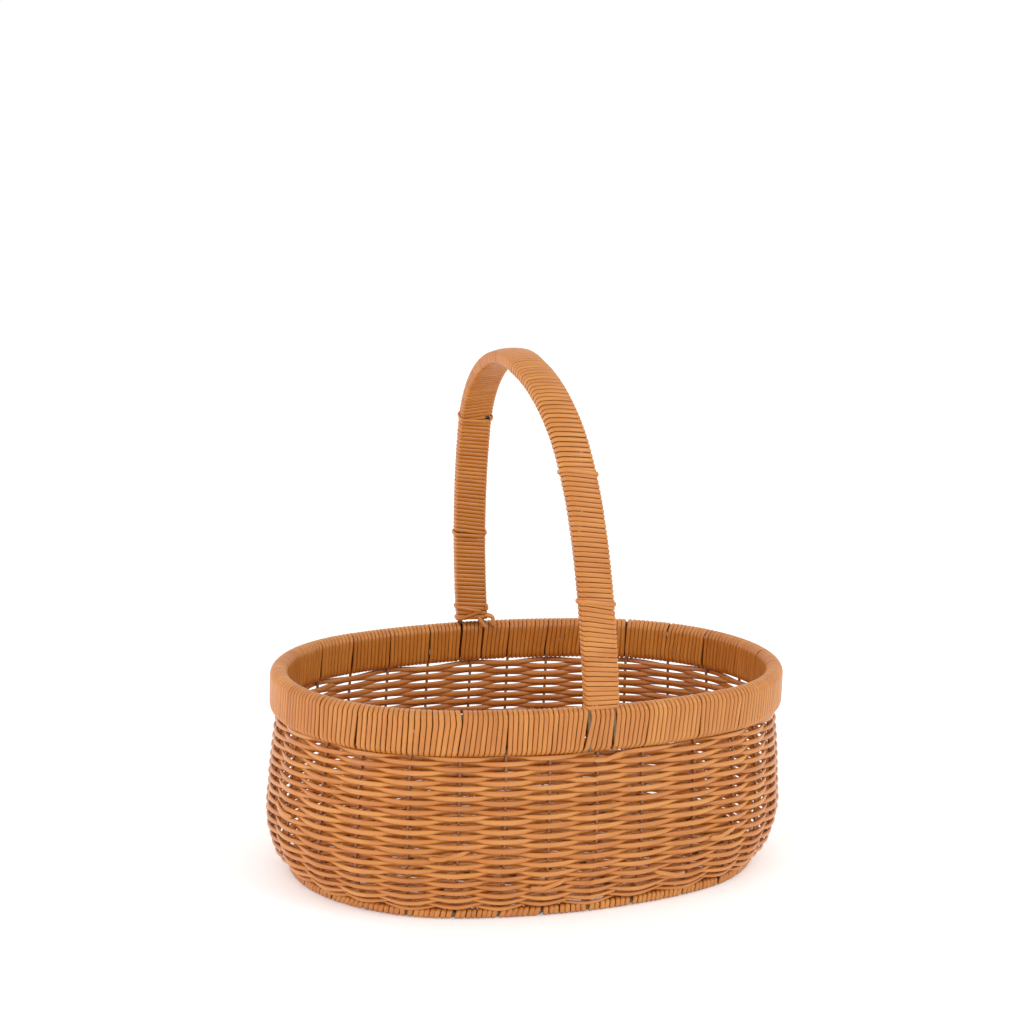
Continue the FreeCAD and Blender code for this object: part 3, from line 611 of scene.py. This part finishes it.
def rim_place(s, o, z, no, nz):
    base, n, t = plan(s, 0.0)
    off = o + RIM_MID_O
    P = np.concatenate([base + n * off[:, None], (z + RIM_MID_Z)[:, None]], 1)
    V = np.concatenate([n * no[:, None], nz[:, None]], 1)
    return P, V


def side_of(place):
    x, y = plan(place)[0][0]
    if abs(x) > 118.0:
        return "right" if x > 0 else "left"
    return "front" if y < 0 else "back"


rng = np.random.default_rng(7)
HALF = AROUND / 2
# the gaps of the wrapping: place, widths at the four corners (outer bottom,
# outer top, inner top, inner bottom) and how far each corner is shifted
gaps = []
for k, place in enumerate(PLACES):
    if k in (0, 15):
        continue
    open_ = rng.uniform(0.0, 1.0) ** 1.3
    ob, ot = 0.15 + 1.35 * open_, rng.uniform(0.0, 0.25)
    it, ib = (rng.uniform(0.0, 0.5), rng.uniform(0.4, 2.2))
    if rng.uniform() < 0.35:
        it, ib = ib, it
    lean_o, lean_i = rng.uniform(-0.2, 1.0), rng.uniform(-0.9, 0.3)
    gaps.append((place, (ob, ot, it, ib), (-lean_o, lean_o, lean_i, -lean_i)))
for middle in (0.0, HALF):
    for side in (-1, 1):
        c = middle + side * BOW_X
        if middle == 0.0:
            wid = (0.6, 2.6, 0.8, 0.8) if side < 0 else (1.1, 1.4, 0.8, 0.8)
            off = (-2.8, -0.2, 0.0, 0.0) if side < 0 else (-0.2, 0.2, 0.0, 0.0)
        else:
            wid = (0.9, 1.3, 1.8, 1.2) if side < 0 else (0.9, 1.3, 1.8, 1.5)
            off = (0.0, 0.0, 0.3, 1.1) if side < 0 else (0.0, 0.0, 0.2, 0.9)
        gaps.append((c, wid, off))
gaps = sorted(((g[0] if g[0] > -20 else g[0] + AROUND), g[1], g[2]) for g in gaps)
gaps.append((gaps[0][0] + AROUND, gaps[0][1], gaps[0][2]))
rim_mesh = {side: Mesh() for side in ("front", "right", "back", "left")}
for j in range(len(gaps) - 1):
    (p0, w0, c0), (p1, w1, c1) = gaps[j], gaps[j + 1]
    start = [p0 + c0[i] + w0[i] / 2 for i in range(4)]
    stop = [p1 + c1[i] - w1[i] / 2 for i in range(4)]
    mean = (np.mean(stop) - np.mean(start))
    turns = max(2, int(round(mean / 3.17)))
    wind(rim_section, (RIM_DEPTH, RIM_TOP - RIM_BOTTOM), start, stop, turns, rim_place,
         lambda v: np.clip(v, 1.9, 3.35), RIM_T, 100 + 13 * j, rim_mesh[side_of((p0 + p1) / 2)],
         rng.uniform(0.25, 0.75), 3000 + 900.0 * j)
for side, m in rim_mesh.items():
    m.build("rim_winding_" + side, WRAP, ["rim_wrap_" + side], "rattan_wrap")

# ------------------------------------------------------------------ base ring
BASE_T, BASE = 2.1, 6.4
base_section = rounded_rect(BASE - BASE_T, BASE - BASE_T, 1.7, 3, 4)
BASE_INSET = 12.2


def base_place(s, o, z, no, nz):
    base, n, t = plan(s, BASE_INSET)
    P = np.concatenate([base + n * (o - 3.8 * ends(s))[:, None], (z + BASE / 2)[:, None]], 1)
    P[:, 2] = np.maximum(P[:, 2], BASE_T / 2 + 0.02)
    return P, np.concatenate([n * no[:, None], nz[:, None]], 1)


rng = np.random.default_rng(19)
base_mesh = {side: Mesh() for side in ("front", "right", "back", "left")}
for k in range(K):
    p0 = PLACES[k]
    p1 = PLACES[(k + 1) % K] + (AROUND if k + 1 == K else 0)
    g0, g1 = rng.uniform(0.3, 1.5, 4), rng.uniform(0.3, 1.5, 4)
    lean = rng.uniform(-0.8, 0.8)
    start = [p0 + g0[0] - lean, p0 + g0[1] + lean, p0 + g0[2] + lean, p0 + g0[3] - lean]
    stop = [p1 - g1[0] - lean, p1 - g1[1] + lean, p1 - g1[2] + lean, p1 - g1[3] - lean]
    turns = int(round((p1 - p0 - 1.8) / 3.55))
    wind(base_section, (BASE, BASE), start, stop, turns, base_place,
         lambda v: np.clip(v, 2.2, 3.75), BASE_T, 700 + 17 * k, base_mesh[side_of((p0 + p1) / 2)],
         rng.uniform(0.2, 0.8), 40000 + 500.0 * k, power=2.0, jitter=0.34, lift=0.25, fill=0.97)
for side, m in base_mesh.items():
    m.build("base_winding_" + side, WRAP, ["base_wrap_" + side], "rattan_wrap")


m = Mesh()
ss = np.linspace(0, AROUND, 500, endpoint=False)
base_xy, n2, t2 = plan(ss, BASE_INSET)
P = np.concatenate([base_xy - n2 * (3.8 * ends(ss))[:, None], np.full((len(ss), 1), 2.9)], 1)
U, V, T = frames(P, np.concatenate([n2, np.zeros((len(ss), 1))], 1), True)
m.sweep(P, U, V, 3.2, 3.2, closed=True, sect=14, power=2.0, tone=0.5)
m.build("base_ring_wire", WIRE, ["base_hoop"], "frame_wire")

# --------------------------------------------------------------- side stakes
stake_mesh = {side: Mesh() for side in ("front", "right", "back", "left")}
for k, place in enumerate(PLACES):
    line = np.concatenate([LINE[:1], LINE[1:]])
    z = np.concatenate([np.linspace(a, b, 5)[:-1] for a, b in zip(line[:-1, 1], line[1:, 1])]
                       + [line[-1:, 1]])
    pl = np.full(len(z), place)
    p3, n3, t3_ = plan(pl, inset_at(z))
    xy = p3 + n3 * bulge(pl, z)[:, None]
    P = np.concatenate([xy, z[:, None]], 1)
    U, V, T = frames(P, np.concatenate([n3, np.zeros((len(z), 1))], 1), False)
    stake_mesh[side_of(place)].sweep(P, U, V, 2 * STAKE_R, 2 * STAKE_R, sect=12, power=2.0, tone=0.5)
for side, m in stake_mesh.items():
    m.build("upright_wires_" + side, STAKE, ["side_stakes_" + side], "frame_wire")

# --------------------------------------------------------------------- handle
TOP_LEN, SIDE_LEN = RT * (math.pi / 2 - ALPHA), RS * ALPHA


def arch(length):
    """Middle line of the bow: (y, z) and its outward normal, by distance from
    the top, towards the back if positive."""
    s = np.abs(length)
    sign = np.where(length >= 0, 1.0, -1.0)
    a1 = s / RT
    a2 = ALPHA - (s - TOP_LEN) / RS
    y = np.where(s <= TOP_LEN, RT * np.sin(a1),
                 np.where(s <= TOP_LEN + SIDE_LEN, FOOT_Y - RS + RS * np.cos(a2), FOOT_Y))
    z = np.where(s <= TOP_LEN, Z0 + RISE + RT * np.cos(a1),
                 np.where(s <= TOP_LEN + SIDE_LEN, Z0 + RS * np.sin(a2), Z0 - (s - TOP_LEN - SIDE_LEN)))
    ny = np.where(s <= TOP_LEN, np.sin(a1), np.where(s <= TOP_LEN + SIDE_LEN, np.cos(a2), 1.0))
    nz = np.where(s <= TOP_LEN, np.cos(a1), np.where(s <= TOP_LEN + SIDE_LEN, np.sin(a2), 0.0))
    return sign * y, z, sign * ny, nz


def arch_length(z):
    if z <= Z0:
        return TOP_LEN + SIDE_LEN + Z0 - z
    if z <= Z0 + RS * math.sin(ALPHA):
        return TOP_LEN + RS * (ALPHA - math.asin((z - Z0) / RS))
    return RT * math.acos((z - Z0 - RISE) / RT)


def leaned(P):
    c, s = math.cos(LEAN), math.sin(LEAN)
    x, z = P[:, 0].copy(), P[:, 2] - PIVOT
    return np.stack([x * c + z * s, P[:, 1], -x * s + z * c + PIVOT], 1)


def leaned_dir(V):
    c, s = math.cos(LEAN), math.sin(LEAN)
    return np.stack([V[:, 0] * c + V[:, 2] * s, V[:, 1], -V[:, 0] * s + V[:, 2] * c], 1)


HT = 1.6
# the section's x side is the handle's width (world X), its y side the thickness
handle_section = rounded_rect(HANDLE_W + 0.4 - HT, HANDLE_T - HT, 1.7, 8, 4)
CROWN = 1.9
hx = np.clip(handle_section[0][:, 0] / (HANDLE_W / 2), -1, 1)
handle_section[0][:, 1] += np.where(handle_section[0][:, 1] > 0, CROWN * (1 - hx ** 2), 0)


def sway(s):
    """How far the bow's front leg stands off the plain arch: (x, outward)."""
    t = np.clip(-np.asarray(s, float) / (TOP_LEN + SIDE_LEN), 0, 1)
    f = np.interp(t, [0, 0.12, 0.3, 0.5, 0.8, 1.0], [0, 0.25, 0.9, 1.0, 0.75, 0.55])
    back = np.clip(np.asarray(s, float) / (TOP_LEN + SIDE_LEN), 0, 1)
    dx = np.interp(t, [0, 0.1, 0.18, 0.27, 0.353, 0.43, 0.5, 0.6, 0.7, 0.8, 1.0],
                   [0, -1.3, -0.2, 1.1, 2.6, 3.7, 4.4, 4.3, 3.8, 3.1, 2.0])
    return dx + 0.8 * back ** 2, 2.6 * f



def handle_place(s, o, z, no, nz):
    y, zz, ny, nzz = arch(s)
    dx, dn = sway(s)
    flat = CROWN * (1 - np.clip(o / (HANDLE_W / 2), -1, 1) ** 2)
    z = z - np.where(z > 0, flat, 0) * (1 - np.exp(-(s / 95.0) ** 2)) * 0.75
    P = np.stack([o + dx, y + ny * (z + dn), zz + nzz * (z + dn)], 1)
    V = np.stack([no, ny * nz, nzz * nz], 1)
    return leaned(P), leaned_dir(V)


FRONT_LOW = 134.2
BACK_LOW = 138.0
# places along the bow, from the front foot over the top to the back foot
cuts = [-arch_length(FRONT_LOW), -arch_length(146.0), -arch_length(200.0), -arch_length(277.0), -6.0,
        arch_length(290.0), arch_length(203.0), arch_length(148.0), arch_length(BACK_LOW)]
names = ["foot_winding_front", "handle_winding_1", "handle_winding_2", "handle_winding_3",
         "handle_winding_4", "handle_winding_5", "handle_winding_6", "foot_winding_back"]
cad = ["foot_binding_front"] + ["handle_wrap_%d" % i for i in range(1, 7)] + ["foot_binding_back"]
# lean of the turns at each cut, at the corners (right front... going round)
# lean of the turns where each winding starts and stops; positive is lower on
# the right of the front leg
first_lean = [-0.3, -0.8, -1.2, -0.9, -0.6, 1.3, 1.3, 1.3]
last_lean = [-0.8, -2.6, -1.5, -1.0, -0.5, 1.7, 1.3, 0.5]
wedge = [0.0, 0.0, 0.5, 0.4, 0.2, 0.6, 0.6, 0.0, 0.0]
handle_mesh = []
rng = np.random.default_rng(23)
for j in range(8):
    m = Mesh()
    a, b = cuts[j], cuts[j + 1]
    tight_side = np.array([0.0, 0.0, 1.0, 1.0]) if j % 2 else np.array([1.0, 1.0, 0.0, 0.0])
    ga, gb = 0.0, wedge[j + 1] * tight_side
    sa, sb = first_lean[j], last_lean[j]
    corner_sign = np.array([1.0, 1.0, -1.0, -1.0])
    start = a + ga + sa * corner_sign
    stop = b - gb + sb * corner_sign
    turns = max(2, int(round((b - a) / 3.06)))
    part = handle_section
    if j >= 5:                      # the ends lie on the side away from the basket
        half = len(part[2]) // 2
        pts2, nor2 = np.roll(part[0], -half, 0), np.roll(part[1], -half, 0)
        q2 = np.mod(np.roll(part[2], -half) - part[2][half], 1.0)
        part = (pts2, nor2, q2)
        start, stop = np.roll(start, -2), np.roll(stop, -2)
    wind(part, (HANDLE_W, HANDLE_T), start, stop, turns, handle_place,
         lambda v: np.clip(v, 2.2, 3.4), HT, 1500 + 31 * j, m, rng.uniform(0.35, 0.7),
         60000 + 2500.0 * j, jitter=0.10, lift=0.12)
    if j in (1, 2, 5, 6):           # the strand's end crosses over the joint
        at = cuts[j + 1] if j < 5 else cuts[j]
        over = (handle_section[0] + handle_section[1] * 1.1, handle_section[1], handle_section[2])
        lean_ = -1.9 if j < 5 else 1.6
        wind(over, (HANDLE_W, HANDLE_T), at + lean_ * corner_sign - 1.2, at + lean_ * corner_sign + 1.2,
             1, handle_place, lambda v: np.clip(v, 2.7, 2.7), 1.5, 1900 + 7 * j, m,
             rng.uniform(0.3, 0.6), 90000 + 500.0 * j, jitter=0.2, lift=0.1)
    if j == 7:                      # two turns cross at the back foot
        over = (handle_section[0] + handle_section[1] * 1.0, handle_section[1], handle_section[2])
        for low, tilt_, seed in ((143.2, -2.6, 1), (146.6, 2.4, 2)):
            at = arch_length(low)
            wind(over, (HANDLE_W, HANDLE_T), at + tilt_ * corner_sign - 1.0,
                 at + tilt_ * corner_sign + 1.0, 1, handle_place, lambda v: np.clip(v, 2.7, 2.7),
                 1.5, 1990 + seed, m, 0.4, 98000 + 500.0 * seed, jitter=0.2, lift=0.1)
    handle_mesh.append(m)
    m.build(names[j], WRAP, [cad[j]], "rattan_wrap")

for side, name in ((-1, "left"), (1, "right")):
    m = Mesh()
    end = arch_length(109.0)
    ss = np.linspace(-end, end, 260)
    y, zz, ny, nzz = arch(ss)
    dx, dn = sway(ss)
    step = np.interp(zz, [109.0, 129.5, 132.0, 136.0, 142.0], [1.0, 1.0, 0.86, 0.25, 0.0])
    yy = np.sign(y) * (np.abs(y + ny * dn) * (1 - step) + 118.9 * step)
    P = leaned(np.stack([side * BOW_X + dx * (1 - step), yy, zz + nzz * dn], 1))
    U, V, T = frames(P, leaned_dir(np.stack([0 * ss, ny, nzz], 1)), False)
    thin = 3.6 - 1.0 * step
    m.sweep(P, U, V, thin, thin, sect=16, power=2.0, tone=0.5)
    m.build("bow_wire_" + name, WIRE, ["handle_bow_" + name], "frame_wire")

# ---------------------------------------------------------------------- floor
rng = np.random.default_rng(3)
RIBS, RIB_PITCH, RIB_Z = 11, 27.0, 4.5
floor_mesh = {"front": Mesh(), "back": Mesh()}


def half_length(y, inset):
    r_side, r_end = R_SIDE - inset, R_END - inset
    y = abs(y)
    if y <= r_end * math.cos(PHI):
        return CX_END + math.sqrt(r_end ** 2 - y ** 2)
    return math.sqrt(max(r_side ** 2 - (y + CY_SIDE) ** 2, 0.0))


for i in range(39):
    y0 = (i - 19) * 5.0
    end = half_length(abs(y0) + 1.9, 16.0)
    xs = np.arange(-end, end, 2.0)
    xs = np.append(xs, end)
    swing = 1.3 + 0.12 + 0.95
    phase = (xs / RIB_PITCH) * math.pi + (0 if i % 2 == 0 else math.pi)
    z = RIB_Z + swing * np.cos(phase) * np.clip((end - np.abs(xs)) / 10.0, 0, 1)
    y = y0 + 0.3 * noise1(xs / 40.0, 300 + i)
    P = np.stack([xs, y, z], 1)
    U, V, T = frames(P, np.tile([0, 0, 1.0], (len(P), 1)), False)
    floor_mesh["front" if y0 < 0 else "back"].sweep(
        P, U, V, 4.3, 1.9, sect=12, power=2.7, tone=rng.uniform(0, 1), u0=90000 + 400.0 * i)
for side, m in floor_mesh.items():
    m.build("floor_strands_" + side, WEAVE, ["floor_weavers_" + side], "rattan_weave")

# ------------------------------------------------- loose end at the back foot
m = Mesh()
u = np.linspace(0, 1, 26)
zc = BACK_LOW + 1.6
loop = np.stack([9.0 + 6.2 * np.sin(np.minimum(u * 1.9, 1) * math.pi / 2),
                 FOOT_Y - 3.4 - 2.6 * u, zc + 0.8 - 9.0 * u ** 1.8], 1)
P = leaned(loop)
U, V, T = frames(P, np.tile([0.55, -0.6, 0.5], (len(P), 1)), False)
m.sweep(P, U, V, 3.7, 2.4, sect=12, power=2.4, tone=0.6, u0=120000, taper=1.2)
stub = np.stack([4.0 + 4.6 * u, FOOT_Y - 4.8 - 2.0 * u, zc + 0.6 - 8.0 * u], 1)
P = leaned(stub)
U, V, T = frames(P, np.tile([0.0, -1.0, 0.3], (len(P), 1)), False)
m.sweep(P, U, V, 3.1, 1.9, sect=12, power=2.4, tone=0.7, u0=121000, taper=0.7)
m.build("loose_strand_back", WRAP, ["strand_tail_back"], "rattan_wrap")

# -------------------------------------------------- the wires keep their CAD
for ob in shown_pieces():
    cad_node = ob.get("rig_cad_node")
    if not cad_node:
        continue
    ob.data.materials.clear()
    ob.data.materials.append(STAKE if cad_node.startswith("side_stakes") else WIRE)
    ob.data.polygons.foreach_set("use_smooth", [True] * len(ob.data.polygons))

# ----------------------------------------------------------- floor and lights
scene = bpy.context.scene
floor_me = bpy.data.meshes.new("studio_floor")
floor_me.from_pydata([(-6, -6, 0), (6, -6, 0), (6, 6, 0), (-6, 6, 0)], [], [(0, 1, 2, 3)])
floor = bpy.data.objects.new("studio_floor", floor_me)
scene.collection.objects.link(floor)
fm = bpy.data.materials.new("studio_white")
fm.use_nodes = True
fb = fm.node_tree.nodes["Principled BSDF"]
fn = fm.node_tree.nodes.new("ShaderNodeTexNoise")
fn.inputs["Scale"].default_value = 3.0
fr = fm.node_tree.nodes.new("ShaderNodeMapRange")
fr.inputs[3].default_value = 0.90
fr.inputs[4].default_value = 0.92
fm.node_tree.links.new(fn.outputs["Fac"], fr.inputs[0])
fm.node_tree.links.new(fr.outputs[0], fb.inputs["Base Color"])
fb.inputs["Roughness"].default_value = 0.9
fb.inputs["Specular IOR Level"].default_value = 0.0
fb.inputs["Emission Color"].default_value = (1, 1, 1, 1)
fb.inputs["Emission Strength"].default_value = 0.26
floor_me.materials.append(fm)

world = bpy.data.worlds.new("studio")
scene.world = world
world.use_nodes = True
bg = world.node_tree.nodes["Background"]
bg.inputs[0].default_value = (1.0, 1.0, 1.0, 1)
bg.inputs[1].default_value = 1.0


def softbox(name, pos, target, size, power, colour):
    data = bpy.data.lights.new(name, "AREA")
    data.shape = "RECTANGLE"
    data.size, data.size_y = size
    data.energy = power
    data.color = colour
    ob = bpy.data.objects.new(name, data)
    scene.collection.objects.link(ob)
    ob.location = pos
    ob.rotation_mode = "QUATERNION"
    ob.rotation_quaternion = (Vector(target) - Vector(pos)).to_track_quat("-Z", "Y")
    return ob


softbox("key", (0.75, -1.15, 1.25), (0, 0, 0.12), (0.6, 0.6), 4.6, (1.0, 0.985, 0.95))
softbox("fill_left", (-1.5, -0.45, 0.5), (0, 0, 0.12), (0.7, 0.9), 4.0, (1.0, 0.80, 0.90))

# --------------------------------------------------------------------- camera
AZ, EL, DIST = math.radians(-22.433), math.radians(15.914), 1.37491
YAW, PITCH_C, ROLL, FOCAL = math.radians(0.686), math.radians(-5.589), math.radians(1.81), 1.48
back0 = Vector((math.sin(AZ) * math.cos(EL), -math.cos(AZ) * math.cos(EL), math.sin(EL)))
position = Vector((0, 0, 0.1)) + back0 * DIST
a2, e2 = AZ + YAW, EL + PITCH_C
back = Vector((math.sin(a2) * math.cos(e2), -math.cos(a2) * math.cos(e2), math.sin(e2)))
right = Vector((math.cos(a2), math.sin(a2), 0))
up = back.cross(right)
c, s = math.cos(ROLL), math.sin(ROLL)
right, up = right * c + up * s, up * c - right * s
cam_data = bpy.data.cameras.new("camera")
cam = bpy.data.objects.new("camera", cam_data)
scene.collection.objects.link(cam)
cam_data.sensor_width = 36.0
cam_data.lens = FOCAL * DIST * 1000 / 1024 * 36.0
cam_data.clip_start, cam_data.clip_end = 0.01, 50
cam.matrix_world = Matrix(((right.x, up.x, back.x, position.x), (right.y, up.y, back.y, position.y),
                           (right.z, up.z, back.z, position.z), (0, 0, 0, 1)))
scene.camera = cam
scene.view_settings.view_transform = "Standard"
scene.view_settings.look = "None"
scene.view_settings.exposure = 0.0
